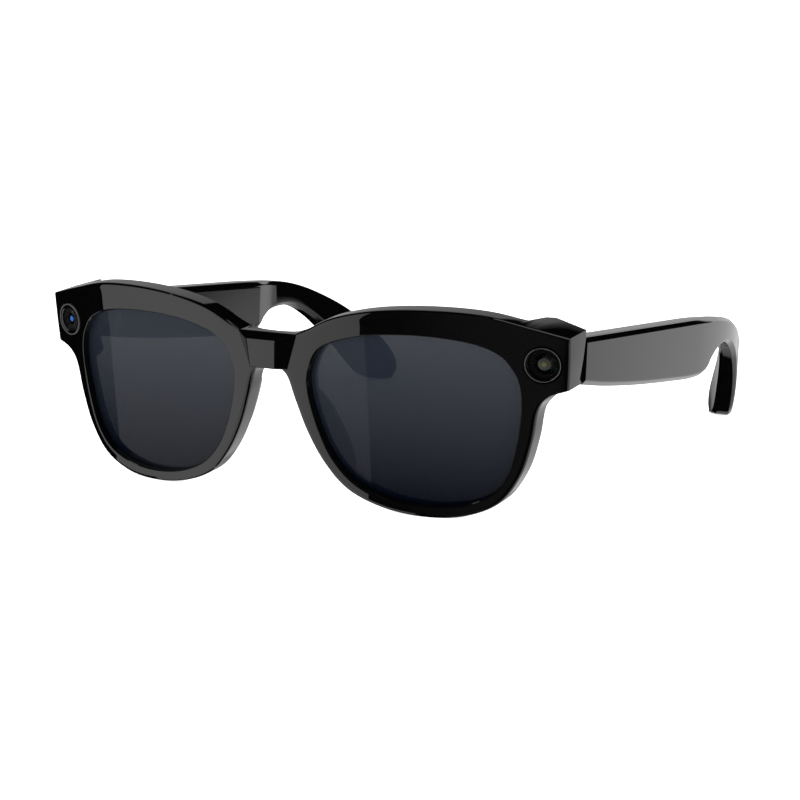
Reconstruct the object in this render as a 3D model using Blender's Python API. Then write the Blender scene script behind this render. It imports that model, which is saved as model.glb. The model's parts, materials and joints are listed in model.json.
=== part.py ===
"""Smart glasses: a front with a camera and a status light, and two folding temples.

Sizes are in millimetres and become metres in world().  x runs across the face
(+x is the wearer's left), y runs from the front to the ears, and z runs up.
Outlines are drawn with z = 0 at the top corner of the end pieces; world() moves
them so that the glasses stand on z = 0, centred on x = 0 and y = 0.
"""
from math import atan2, cos, hypot, pi, radians, sin, tan

import bmesh
import bpy
from mathutils import Vector

MM = 0.001

# Overall frame
HALF_WIDTH = 74.0
FLOOR_DROP = 44.95        # from the end piece's corner down to the table
MIDDLE_Y = 66.08          # half way between the bridge and the tips
WRAP_SAG = 12.35          # how far the bridge stands in front of the end pieces
FRONT_TILT = radians(4.7)
TEMPLE_TILT = radians(4.75)
GAP = 0.3                 # between pieces that touch

# Front
RIM_DEPTH = 5.2
FACE_BEVEL = 1.0
EDGE_BEVEL = 0.5
GROOVE_FRONT = 1.9
GROOVE_BACK = 4.5
GROOVE_DEPTH = 1.0
BLOCK_INNER_X = 64.6      # inner wall of the end pieces
STEPS = 2                 # mesh steps between two outline stations

# Outer outline and lens opening of the +x half, station by station: from the
# top of the bridge round the end piece and the rim to the underside of the bridge.
STATIONS = [
    ((0.0, -3.2), (11.9, -8.7)),
    ((5.5, -2.9), (13.0, -6.8)),
    ((10.0, -1.4), (15.0, -4.9)),
    ((17.5, 2.2), (19.5, -3.0)),
    ((28.0, 4.6), (28.0, -1.3)),
    ((41.0, 5.5), (40.0, -0.8)),
    ((54.0, 4.9), (51.5, -1.9)),
    ((64.5, 2.6), (58.2, -4.4)),
    ((74.0, 0.2), (61.3, -8.0)),
    ((73.8, -6.0), (62.4, -10.5)),
    ((73.4, -12.2), (62.9, -13.5)),
    ((69.3, -13.7), (62.9, -16.5)),
    ((66.6, -17.2), (62.6, -19.5)),
    ((65.0, -25.0), (61.5, -26.0)),
    ((62.2, -33.3), (59.2, -33.3)),
    ((57.0, -40.4), (54.7, -38.6)),
    ((48.5, -44.2), (47.3, -41.5)),
    ((38.5, -45.0), (38.5, -42.2)),
    ((28.5, -43.6), (29.5, -40.9)),
    ((19.7, -39.9), (21.7, -37.5)),
    ((13.8, -33.8), (16.4, -32.0)),
    ((9.6, -26.5), (13.2, -25.5)),
    ((6.6, -18.6), (11.2, -18.8)),
    ((4.7, -13.0), (10.6, -14.5)),
    ((2.4, -10.9), (10.8, -12.2)),
    ((0.0, -10.4), (11.2, -10.6)),
]
CORNERS = (8, 10)         # stations where the outer outline turns sharply

BRIDGE_PANEL = 3.0        # how far the centre panel stands proud of the brow
BROW_PATH = [(0.0, -6.2), (8.0, -4.9), (15.0, -1.5), (22.0, 1.0), (31.0, 2.1),
             (41.0, 2.4), (51.0, 1.8), (58.0, 0.3), (62.0, -1.2), (67.5, -3.6)]
CHANNEL_HALF = 1.3
CHANNEL_FRONT = 2.8
LENS_FACES = (2.2, 4.2)   # depths of the lens's front and back
PAD_FOOT = [(6.0, -16.0), (8.0, -21.0), (10.6, -27.0), (13.6, -32.0), (17.0, -36.2)]
PAD_RISE = 4.6
CONTACTS = (-3.0, 0.0, 3.0)
CONTACT_Z = -6.2
CONTACT_RADIUS = 0.6
CONTACT_PROUD = 0.15

# Camera on the -x end piece, status light on the +x one
EYE_X = 68.0
EYE_Z = -6.2
EYE_RECESS = 4.5
EYE_BORE = 2.6
EYE_BORE_END = 7.5

# Hinges, in the temples' frame: x across, u back from the seam, h up
SEAM_Y = 9.6
SEAM_Z = -0.8
SEAM_HALF_GAP = 0.15
AXIS_X = 64.6
AXIS_U = 3.3              # behind the seam, so that one temple folds over the other
KNUCKLE = 1.3
PIN = 0.62
PIN_BORE = 0.75
KNUCKLE_SPLITS = (-9.6, -7.5, -5.1, -3.0)
KNUCKLE_GAP = 0.1
BRACKET_ARM = [(64.25, -2.4), (63.35, -2.4)]
BRACKET_SCREW = (-4.6, -9.0)                 # (u, h)
LEAF_ARM = [(66.6, AXIS_U + 1.2), (66.6, AXIS_U + 0.3)]
LEAF_SCREWS = [(7.4, -4.4), (7.4, -8.2)]     # (u, h)
SCREW_HEAD = 1.05
SCREW_SHANK = 0.55
SCREW_HOLE = 0.75

# Temples: (u, h) of the top edge and of the lower edge, station by station
TEMPLE_X = 74.2           # outer face
TEMPLE_STATIONS = [
    ((0.2, 0.0), (0.2, -11.2)),
    ((15.5, 0.0), (15.5, -12.8)),
    ((35.5, 0.0), (35.6, -14.2)),
    ((56.0, 0.0), (56.2, -15.1)),
    ((70.5, 0.0), (71.0, -15.5)),
    ((79.0, -0.1), (79.5, -14.6)),
    ((84.0, -0.2), (83.8, -11.6)),
    ((90.0, -0.4), (89.0, -9.2)),
    ((98.0, -1.1), (95.5, -8.1)),
    ((106.0, -2.7), (102.0, -8.8)),
    ((114.0, -5.4), (109.0, -12.0)),
    ((122.5, -9.4), (116.0, -17.0)),
    ((130.0, -14.6), (122.0, -22.2)),
    ((136.0, -20.2), (126.5, -27.0)),
    ((139.6, -25.2), (130.2, -30.8)),
    ((140.4, -29.4), (133.4, -32.5)),
    ((138.9, -32.0), (136.6, -32.9)),
]
TEMPLE_BEVEL = 1.1
BEND_START = 70.0         # where the temples begin to curve towards the head
BEND_LENGTH = 68.0
BEND_DROP = 14.2
ROOM_THICK = 6.8
BEND_THICK = 5.0
TIP_THICK = 6.0
WALL = 1.3
COVER = 1.1
ROOM_FRONT = 10.5
ROOM = [(ROOM_FRONT, -1.4), (80.0, -1.7), (80.0, -12.6), (76.5, -13.8), (70.0, -14.1),
        (57.0, -13.7), (38.0, -12.9), (20.0, -11.7), (ROOM_FRONT, -10.8)]
CORE_PATH = [(76.0, -6.0), (84.0, -5.4), (93.0, -4.6), (101.0, -5.0), (108.0, -7.6),
             (115.0, -12.2), (121.0, -17.2), (126.0, -22.0)]
CORE_WIRE = 0.6
CORE_BORE = 1.0
SPEAKER_U = (64.0, 75.0)
BUTTON_SLOT = ((68.9, 21.2, -3.0), (72.3, 32.2, 1.0))
SLIDER_SLOT = ((66.0, 12.6, -7.6), (69.5, 19.6, -5.2))

# Colour, roughness and metallic of each material
FINISHES = {
    "frame_black": ((0.012, 0.012, 0.013), 0.12, 0.0),
    "inner_black": ((0.015, 0.015, 0.016), 0.3, 0.0),
    "lens_tint": ((0.02, 0.024, 0.032), 0.04, 0.0),
    "clear_window": ((0.05, 0.06, 0.08), 0.03, 0.0),
    "trim_metal": ((0.35, 0.36, 0.38), 0.22, 1.0),
    "hinge_steel": ((0.45, 0.45, 0.46), 0.28, 1.0),
    "contact_gold": ((0.78, 0.58, 0.27), 0.25, 1.0),
    "circuit_board": ((0.02, 0.12, 0.06), 0.5, 0.0),
    "flex_film": ((0.42, 0.2, 0.05), 0.4, 0.0),
    "cell_wrap": ((0.3, 0.31, 0.33), 0.4, 0.3),
    "optic_black": ((0.01, 0.01, 0.012), 0.5, 0.0),
    "light_resin": ((0.75, 0.72, 0.5), 0.35, 0.0),
    "speaker_mesh": ((0.05, 0.05, 0.052), 0.6, 0.4),
}

LEFT = 1
RIGHT = -1
SIDES = {"left": LEFT, "right": RIGHT}


# ---------------------------------------------------------------- coordinates

def world(x, y, z):
    return Vector((x, y - MIDDLE_Y, z + FLOOR_DROP)) * MM


def on_front(x, z, depth=0.0):
    """A point of the curved, tilted front, depth millimetres behind its face."""
    y = -WRAP_SAG * (1 - (x / HALF_WIDTH) ** 2) - tan(FRONT_TILT) * z
    return world(x, y + depth * cos(FRONT_TILT), z + depth * sin(FRONT_TILT))


def in_temple(x, u, h):
    """A point of a temple's frame, which slopes down towards the ear."""
    y = SEAM_Y + u * cos(TEMPLE_TILT) + h * sin(TEMPLE_TILT)
    z = SEAM_Z - u * sin(TEMPLE_TILT) + h * cos(TEMPLE_TILT)
    return world(x, y, z)


def seam_depth(x, z):
    """Depth behind the face at which the end piece meets the seam plane."""
    slope = tan(TEMPLE_TILT)
    face_y = -WRAP_SAG * (1 - (x / HALF_WIDTH) ** 2) - tan(FRONT_TILT) * z
    seam_y = SEAM_Y - SEAM_HALF_GAP + slope * (z - SEAM_Z)
    return (seam_y - face_y) / (cos(FRONT_TILT) - slope * sin(FRONT_TILT))


def temple_outer_x(u):
    bend = max(0.0, (u - BEND_START) / BEND_LENGTH)
    return TEMPLE_X - BEND_DROP * bend ** 3


def temple_thickness(u):
    """Thick over the electronics, slim above the ear, fuller again at the tip."""
    slim = (ROOM_THICK - BEND_THICK) * smoothstep(u, 76.0, 92.0)
    full = (TIP_THICK - BEND_THICK) * smoothstep(u, 104.0, 128.0)
    return ROOM_THICK - slim + full


def smoothstep(value, low, high):
    t = min(1.0, max(0.0, (value - low) / (high - low)))
    return t * t * (3 - 2 * t)


# --------------------------------------------------------------------- curves

def spline(points, steps):
    """Points of an open Catmull-Rom curve through the given points."""
    ends = [extend(points[1], points[0])] + list(points) + [extend(points[-2], points[-1])]
    result = []
    for p0, p1, p2, p3 in zip(ends, ends[1:], ends[2:], ends[3:]):
        for step in range(steps):
            result.append(catmull_rom(p0, p1, p2, p3, step / steps))
    result.append(tuple(points[-1]))
    return result


def extend(before, end):
    return tuple(2 * e - b for b, e in zip(before, end))


def catmull_rom(p0, p1, p2, p3, t):
    return tuple(
        0.5 * (2 * b + (c - a) * t + (2 * a - 5 * b + 4 * c - d) * t * t
               + (3 * b - a - 3 * c + d) * t ** 3)
        for a, b, c, d in zip(p0, p1, p2, p3)
    )


def outer_outline():
    points = [outer for outer, inner in STATIONS]
    marks = [0, *CORNERS, len(points) - 1]
    outline = []
    for start, end in zip(marks, marks[1:]):
        outline += spline(points[start:end + 1], STEPS)[:-1]
    return outline + [points[-1]]


def lens_outline():
    """The lens opening; it is closed, so its ends borrow each other's neighbours."""
    points = [inner for outer, inner in STATIONS]
    wrapped = spline(points[-3:] + points + points[:3], STEPS)
    return wrapped[3 * STEPS:-3 * STEPS]


def offset(outline, distance, closed):
    """Move a clockwise outline outwards, with mitred corners.

    An open outline ends square on the symmetry plane, so its ends move along z.
    """
    count = len(outline)
    normals = []
    for (x0, z0), (x1, z1) in zip(outline, outline[1:] + outline[:1]):
        length = hypot(x1 - x0, z1 - z0)
        normals.append(((z0 - z1) / length, (x1 - x0) / length))
    moved = []
    for i, (x, z) in enumerate(outline):
        before, after = normals[i - 1], normals[i]
        if not closed and i == 0:
            before = after = (0.0, 1.0)
        if not closed and i == count - 1:
            before = after = (0.0, -1.0)
        spread = 1 + before[0] * after[0] + before[1] * after[1]
        moved.append((x + distance * (before[0] + after[0]) / spread,
                      z + distance * (before[1] + after[1]) / spread))
    return moved


# ------------------------------------------------------------ Blender helpers

def clear_scene():
    for item in list(bpy.data.objects):
        bpy.data.objects.remove(item, do_unlink=True)


def finish(material):
    """Find or make a plain Principled material from a named finish."""
    colour, roughness, metallic = FINISHES[material]
    if material in bpy.data.materials:
        return bpy.data.materials[material]
    made = bpy.data.materials.new(material)
    made.use_nodes = True
    shader = made.node_tree.nodes["Principled BSDF"]
    shader.inputs["Base Color"].default_value = (*colour, 1.0)
    shader.inputs["Roughness"].default_value = roughness
    shader.inputs["Metallic"].default_value = metallic
    made.diffuse_color = (*colour, 1.0)
    return made


def make(name, bm, material, sharp_angle=35.0):
    """Turn a bmesh into a named object with outward faces and smooth shading."""
    bmesh.ops.recalc_face_normals(bm, faces=bm.faces)
    mesh = bpy.data.meshes.new(name)
    bm.to_mesh(mesh)
    bm.free()
    mesh.shade_smooth()
    mesh.set_sharp_from_angle(angle=radians(sharp_angle))
    made = bpy.data.objects.new(name, mesh)
    bpy.context.collection.objects.link(made)
    if material:
        mesh.materials.append(finish(material))
    return made


def cutter(name, bm):
    made = make(name, bm, None)
    made.hide_render = True
    made.display_type = "WIRE"
    return made


def combine(target, tool, operation="DIFFERENCE"):
    modifier = target.modifiers.new(tool.name, "BOOLEAN")
    modifier.operation = operation
    modifier.solver = "EXACT"
    modifier.object = tool


def ring_faces(bm, loops, close=True):
    """Quads between successive loops of equal length, and from last to first."""
    pairs = list(zip(loops, loops[1:]))
    if close:
        pairs.append((loops[-1], loops[0]))
    for one, two in pairs:
        for i in range(len(one)):
            j = (i + 1) % len(one)
            bm.faces.new((one[i], one[j], two[j], two[i]))


def loft(sections, bm=None):
    """A closed solid through closed sections of equal point count."""
    bm = bm or bmesh.new()
    loops = [[bm.verts.new(point) for point in section] for section in sections]
    ring_faces(bm, loops, close=False)
    bm.faces.new(loops[0])
    bm.faces.new(loops[-1])
    return bm


def circle(radius, count=24, turn=0.5):
    steps = [2 * pi * (i + turn) / count for i in range(count)]
    return [(radius * cos(a), radius * sin(a)) for a in steps]


def front_disc(x, z, radius, front, back, bm=None, count=24):
    """A round plug that follows the front's face, from one depth to another."""
    rim = circle(radius, count)
    return loft([[on_front(x + a, z + b, d) for a, b in rim] for d in (front, back)], bm)


def front_ring(x, z, outer, inner, front, back):
    bm = bmesh.new()
    loops = []
    for radius, depth in ((outer, front), (outer, back), (inner, back), (inner, front)):
        loops.append([bm.verts.new(on_front(x + a, z + b, depth)) for a, b in circle(radius)])
    ring_faces(bm, loops)
    return bm


def box(place, first, second, bm=None):
    """A box between two corners given in the coordinates of a place function."""
    (a0, b0, c0), (a1, b1, c1) = first, second
    ring = [(a0, b0), (a1, b0), (a1, b1), (a0, b1)]
    return loft([[place(a, b, c) for a, b in ring] for c in (c0, c1)], bm)


def soft_box(place, first, second, width):
    """A box with all its edges bevelled."""
    bm = box(place, first, second)
    bmesh.ops.recalc_face_normals(bm, faces=bm.faces)
    bmesh.ops.bevel(bm, geom=bm.edges[:], offset=width * MM, segments=2,
                    profile=0.6, affect="EDGES")
    return bm


def on_side(side):
    """The temple frame of one side: mirrored in x for the wearer's right."""
    return lambda x, u, h: in_temple(side * x, u, h)


def upright_disc(place, x, u, radius, low, high, bm=None, count=20):
    rim = circle(radius, count)
    return loft([[place(x + a, u + b, h) for a, b in rim] for h in (low, high)], bm)


def cross_disc(place, u, h, radius, x0, x1, bm=None, count=12):
    rim = circle(radius, count)
    return loft([[place(x, u + a, h + b) for a, b in rim] for x in (x0, x1)], bm)


# ---------------------------------------------------------------------- front

def rim_section(outer, inner, outer_normal, inner_normal):
    """Cross-section of the front from the lens opening out and back again."""
    (ox, oz), (ix, iz) = outer, inner
    block = smoothstep(ox, 62.5, 65.5) * smoothstep(oz, -17.0, -13.9)
    back = RIM_DEPTH + block * (seam_depth(ox, oz) - RIM_DEPTH)
    share = 0.5
    if block > 0:
        share = min(0.75, max(0.25, (BLOCK_INNER_X - ix) / (ox - ix)))

    def outwards(amount):
        return ix + inner_normal[0] * amount, iz + inner_normal[1] * amount

    def inwards(amount):
        return ox - outer_normal[0] * amount, oz - outer_normal[1] * amount

    def between(part):
        return ix + (ox - ix) * part, iz + (oz - iz) * part

    wall_x, wall_z = between(share)
    wall_back = RIM_DEPTH + block * (seam_depth(wall_x, wall_z) - RIM_DEPTH)
    corner = inwards(EDGE_BEVEL)
    corner_back = RIM_DEPTH + block * (seam_depth(*corner) - RIM_DEPTH)
    return [
        (outwards(0.0), EDGE_BEVEL),
        (outwards(EDGE_BEVEL), 0.0),
        (inwards(FACE_BEVEL), 0.0),
        (inwards(0.3 * FACE_BEVEL), 0.3 * FACE_BEVEL),
        (inwards(0.0), FACE_BEVEL),
        (inwards(0.0), back - EDGE_BEVEL),
        (corner, corner_back),
        ((wall_x, wall_z), wall_back),
        (between(share - 0.03), RIM_DEPTH),
        (outwards(EDGE_BEVEL), RIM_DEPTH),
        (outwards(0.0), RIM_DEPTH - EDGE_BEVEL),
        (outwards(0.0), GROOVE_BACK),
        (outwards(GROOVE_DEPTH), GROOVE_BACK),
        (outwards(GROOVE_DEPTH), GROOVE_FRONT),
        (outwards(0.0), GROOVE_FRONT),
    ]


def front_body():
    """Both halves of the front as one closed ring mesh, welded at x = 0.

    The outer walls of the two halves meet on the symmetry plane, where they
    get no faces of their own: those are sides 2 to 5 of a section.
    """
    wall_sides = range(2, 6)
    outer, inner = outer_outline(), lens_outline()
    outer_far, inner_far = offset(outer, 1.0, False), offset(inner, 1.0, True)
    bm = bmesh.new()
    for side in (LEFT, RIGHT):
        sections = []
        for o, i, of, nf in zip(outer, inner, outer_far, inner_far):
            normals = (of[0] - o[0], of[1] - o[1]), (nf[0] - i[0], nf[1] - i[1])
            section = rim_section(o, i, *normals)
            sections.append([bm.verts.new(on_front(side * x, z, d)) for (x, z), d in section])
        for k, one in enumerate(sections):
            two = sections[(k + 1) % len(sections)]
            on_plane = k == len(sections) - 1
            for m in range(len(one)):
                if on_plane and m in wall_sides:
                    continue
                n = (m + 1) % len(one)
                bm.faces.new((one[m], one[n], two[n], two[m]))
    bmesh.ops.remove_doubles(bm, verts=bm.verts, dist=0.02 * MM)
    return bm


def bridge_panel():
    """The faceted panel of the bridge: a frustum that grows out of the brow."""
    base = [(-8.6, -2.4), (8.6, -2.4), (5.3, -11.4), (-5.3, -11.4)]
    top = [(-4.1, -3.6), (4.1, -3.6), (3.6, -10.6), (-3.6, -10.6)]
    depths = (2.2, 0.25, -BRIDGE_PANEL)
    return loft([[on_front(x, z, d) for x, z in shape]
                 for shape, d in zip((base, base, top), depths)])


def strip(path, half_width, front, back):
    """A ribbon that follows the brow across both halves, with square ends."""
    right_half = spline(path, 2)
    line = [(-x, z) for x, z in reversed(right_half)][:-1] + right_half
    upper, lower = [], []
    for i, (x, z) in enumerate(line):
        before, after = line[max(i - 1, 0)], line[min(i + 1, len(line) - 1)]
        dx, dz = after[0] - before[0], after[1] - before[1]
        length = hypot(dx, dz) / half_width
        upper.append((x - dz / length, z + dx / length))
        lower.append((x + dz / length, z - dx / length))
    return loft([[on_front(*a, front), on_front(*a, back), on_front(*b, back), on_front(*b, front)]
                 for a, b in zip(upper, lower)])


def make_front_shell():
    shell = make("front_shell", front_body(), "frame_black")
    combine(shell, cutter("panel_tool", bridge_panel()), "UNION")
    tools = bmesh.new()
    for x in (-EYE_X, EYE_X):
        front_disc(x, EYE_Z, EYE_RECESS, -2.5, 1.7 if x > 0 else 1.0, tools)
    combine(shell, cutter("recess_tool", tools))
    tools = bmesh.new()
    for x in (-EYE_X, EYE_X):
        front_disc(x, EYE_Z, EYE_BORE, 0.5, EYE_BORE_END, tools)
    combine(shell, cutter("bore_tool", tools))
    combine(shell, cutter("channel_tool",
                          strip(BROW_PATH, CHANNEL_HALF, CHANNEL_FRONT, RIM_DEPTH + 1.0)))
    tools = bmesh.new()
    for side in SIDES.values():
        box(on_side(side), (66.7, -6.0, -10.6), (72.6, 1.0, -1.4), tools)
    combine(shell, cutter("pocket_tool", tools))
    tools = bmesh.new()
    for side in SIDES.values():
        box(on_side(side), (60.0, -6.9, -9.9), (BLOCK_INNER_X, 1.0, -2.7), tools)
    combine(shell, cutter("bracket_seat_tool", tools))
    tools = bmesh.new()
    for side in SIDES.values():
        cross_disc(on_side(side), *BRACKET_SCREW, SCREW_HOLE, 64.0, 66.4, tools)
    combine(shell, cutter("screw_tool", tools))


def make_lenses():
    """Each lens sits in its groove: two faces of nested loops round a centre."""
    edge = offset(lens_outline(), GROOVE_DEPTH - 0.4, True)
    centre = (sum(x for x, z in edge) / len(edge), sum(z for x, z in edge) / len(edge))
    for name, side in SIDES.items():
        bm = bmesh.new()
        faces = []
        for depth in LENS_FACES:
            loops = []
            for scale in (1.0, 0.72, 0.4):
                loops.append([bm.verts.new(on_front(side * (centre[0] + (x - centre[0]) * scale),
                                                    centre[1] + (z - centre[1]) * scale, depth))
                              for x, z in edge])
            ring_faces(bm, loops, close=False)
            middle = bm.verts.new(on_front(side * centre[0], centre[1], depth))
            inner = loops[-1]
            for i in range(len(inner)):
                bm.faces.new((inner[i], inner[(i + 1) % len(inner)], middle))
            faces.append(loops[0])
        ring_faces(bm, faces, close=False)
        make("lens_" + name, bm, "lens_tint")


def make_nose_pads():
    """Pads on the back of the rims, from the bridge's corners down the nose side."""
    line = spline(PAD_FOOT, 4)
    for name, side in SIDES.items():
        sections = []
        for i, (x, z) in enumerate(line):
            rise = sin(pi * (i + 0.8) / (len(line) + 0.6)) ** 0.6
            depth = RIM_DEPTH + GAP + 0.6 + PAD_RISE * rise
            half = 0.7 + 0.7 * rise
            start = RIM_DEPTH + GAP
            lean = 1.1 * rise
            outline = [
                (x + 0.1, start), (x + 0.3 + 2 * half, start),
                (x + lean + 2 * half, 0.5 * (start + depth)),
                (x + lean + 1.5 * half, depth - 0.2), (x + lean + 0.8 * half, depth),
                (x + 0.7 * lean, 0.5 * (start + depth)),
            ]
            sections.append([on_front(side * px, z, d) for px, d in outline])
        make("nose_pad_" + name, loft(sections), "frame_black", 50.0)


def make_brow_parts():
    cover = make("brow_cover", strip(BROW_PATH[:-1], CHANNEL_HALF - GAP, 4.4, RIM_DEPTH),
                 "inner_black")
    tools = bmesh.new()
    for x in CONTACTS:
        front_disc(x, CONTACT_Z, CONTACT_RADIUS + 0.25, 4.0, 6.0, tools, 16)
    combine(cover, cutter("contact_tool", tools))
    contacts = make("charging_contacts",
                    box(on_front, (-3.8, CONTACT_Z - 0.6, 3.7), (3.8, CONTACT_Z + 0.6, 4.05)),
                    "contact_gold")
    tools = bmesh.new()
    for x in CONTACTS:
        front_disc(x, CONTACT_Z, CONTACT_RADIUS, 3.9, RIM_DEPTH + CONTACT_PROUD, tools, 16)
    combine(contacts, cutter("contact_pins", tools), "UNION")
    make("front_flex", strip(BROW_PATH[:-1] + [(66.4, -3.1)], CHANNEL_HALF - 0.5, 3.1, 3.35),
         "flex_film")
    make("bridge_microphone",
         box(on_front, (-11.4, -4.3, 3.7), (-8.8, -3.3, 4.1)), "trim_metal")


def make_camera():
    x = -EYE_X
    make("camera_trim_ring", front_ring(x, EYE_Z, 4.15, 3.35, -0.1, 0.7), "trim_metal")
    make("camera_cover_glass", front_disc(x, EYE_Z, 3.05, 0.05, 0.65), "clear_window")
    make("camera_barrel", front_disc(x, EYE_Z, 2.2, 1.3, 5.8), "optic_black")
    make("camera_sensor_board",
         box(on_front, (-72.2, -9.6, 6.2), (-67.1, -2.8, 7.0)), "circuit_board")


def make_status_light():
    x = EYE_X
    make("light_trim_ring", front_ring(x, EYE_Z, 4.2, 3.65, 0.0, 1.4), "trim_metal")
    make("light_window", front_disc(x, EYE_Z, 3.35, 0.7, 1.3), "clear_window")
    make("light_pipe", front_disc(x, EYE_Z, 1.45, 1.9, 5.8), "light_resin")
    make("light_board",
         box(on_front, (67.1, -9.6, 6.2), (72.2, -2.8, 7.0)), "circuit_board")


def make_end_covers():
    for name, side in SIDES.items():
        make("end_cover_" + name,
             box(on_side(side), (67.0, -SEAM_HALF_GAP - 1.2, -10.3),
                 (72.3, -SEAM_HALF_GAP, -1.7)), "inner_black")


# --------------------------------------------------------------------- hinges

def knuckle_outline(arm):
    """Plan of a knuckle: a round eye whose sides run out to the arm's two points."""
    middle_x, middle_u = (0.5 * (a + b) for a, b in zip(*arm))
    start = atan2(middle_u - AXIS_U, middle_x - AXIS_X)
    clear = radians(25.0)
    turns = [start + clear + (2 * pi - 2 * clear) * i / 14 for i in range(15)]
    eye = [(AXIS_X + KNUCKLE * cos(a), AXIS_U + KNUCKLE * sin(a)) for a in turns]
    return [arm[0]] + eye + [arm[1]]


def plan_plate(place, outline, low, high, bm=None):
    return loft([[place(x, u, h) for x, u in outline] for h in (low, high)], bm)


def make_hinges():
    """A leaf and one knuckle on the front, a leaf and two knuckles on the temple."""
    low, mid_low, mid_high, high = KNUCKLE_SPLITS
    for name, side in SIDES.items():
        place = on_side(side)
        bracket = make("hinge_bracket_" + name,
                       box(place, (63.3, -6.6, low), (BLOCK_INNER_X - GAP, -1.7, high)),
                       "hinge_steel")
        eye = plan_plate(place, knuckle_outline(BRACKET_ARM),
                         mid_low + KNUCKLE_GAP, mid_high - KNUCKLE_GAP)
        combine(bracket, cutter("bracket_eye_" + name, eye), "UNION")

        leaf = make("hinge_leaf_" + name,
                    box(place, (66.0, AXIS_U - 1.2, low), (67.1, 9.4, high)), "hinge_steel")
        eyes = bmesh.new()
        for bottom, top in ((low + 0.05, mid_low - KNUCKLE_GAP), (mid_high + KNUCKLE_GAP, high - 0.05)):
            plan_plate(place, knuckle_outline(LEAF_ARM), bottom, top, eyes)
        combine(leaf, cutter("leaf_eyes_" + name, eyes), "UNION")

        bore = cutter("pin_bore_" + name,
                      upright_disc(place, AXIS_X, AXIS_U, PIN_BORE, -12.0, 0.0))
        combine(bracket, bore)
        combine(leaf, bore)
        combine(bracket, cutter("bracket_hole_" + name,
                                cross_disc(place, *BRACKET_SCREW, SCREW_HOLE, 62.0, 64.5)))
        holes = bmesh.new()
        for u, h in LEAF_SCREWS:
            cross_disc(place, u, h, SCREW_HOLE, 65.0, 68.0, holes)
        combine(leaf, cutter("leaf_holes_" + name, holes))
        make_hinge_screws(name, place)


def make_hinge_screws(name, place):
    pin = loft([[place(AXIS_X + a, AXIS_U + b, h) for a, b in circle(radius, 20)]
                for radius, h in ((PIN, -10.2), (PIN, -2.75), (1.15, -2.75), (1.15, -2.1))])
    make("hinge_pin_" + name, pin, "hinge_steel")
    make("bracket_screw_" + name,
         screw(place, (64.2, *BRACKET_SCREW), 1.5, 1.9), "hinge_steel")
    for number, (u, h) in enumerate(LEAF_SCREWS, 1):
        make(f"leaf_screw_{name}_{number}", screw(place, (67.0, u, h), 1.6, 1.9), "hinge_steel")


def screw(place, where, head, length):
    """A small screw whose shank points outwards along x."""
    x, u, h = where
    neck = 0.35 - head
    steps = ((SCREW_HEAD, -head), (SCREW_HEAD, neck), (SCREW_SHANK, neck), (SCREW_SHANK, length))
    return loft([[place(x + dx, u + a, h + b) for a, b in circle(radius, 10)]
                 for radius, dx in steps])


# -------------------------------------------------------------------- temples

def temple_section(top, bottom):
    """Cross-section across the temple between its top and its lower edge."""
    (tu, th), (bu, bh) = top, bottom
    length = hypot(tu - bu, th - bh)
    bevel = min(TEMPLE_BEVEL, 0.3 * length)

    def at(down, inward):
        part = down / length
        u = tu + (bu - tu) * part
        h = th + (bh - th) * part
        thick = temple_thickness(u)
        return temple_outer_x(u) - inward * thick, u, h

    edge = bevel / temple_thickness(0.5 * (tu + bu))
    return [
        at(0.0, edge), at(0.0, 1 - edge),
        at(bevel, 1.0), at(length - bevel, 1.0),
        at(length, 1 - edge), at(length, edge),
        at(length - bevel, 0.0), at(bevel, 0.0),
    ]


def temple_stations():
    tops = spline([top for top, bottom in TEMPLE_STATIONS], STEPS)
    bottoms = spline([bottom for top, bottom in TEMPLE_STATIONS], STEPS)
    return list(zip(tops, bottoms))


def side_plate(place, outline, x0, x1, bm=None):
    return loft([[place(x, u, h) for u, h in outline] for x in (x0, x1)], bm)


def core_sections(place, radius, path):
    """Round sections square to a path that bends in the temple's side plane."""
    line = spline(path, 2)
    sections = []
    for i, (u, h) in enumerate(line):
        before, after = line[max(i - 1, 0)], line[min(i + 1, len(line) - 1)]
        angle = atan2(after[1] - before[1], after[0] - before[0])
        x = temple_outer_x(u) - 0.5 * temple_thickness(u)
        sections.append([place(x + a, u - b * sin(angle), h + b * cos(angle))
                         for a, b in circle(radius, 10)])
    return sections


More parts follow.
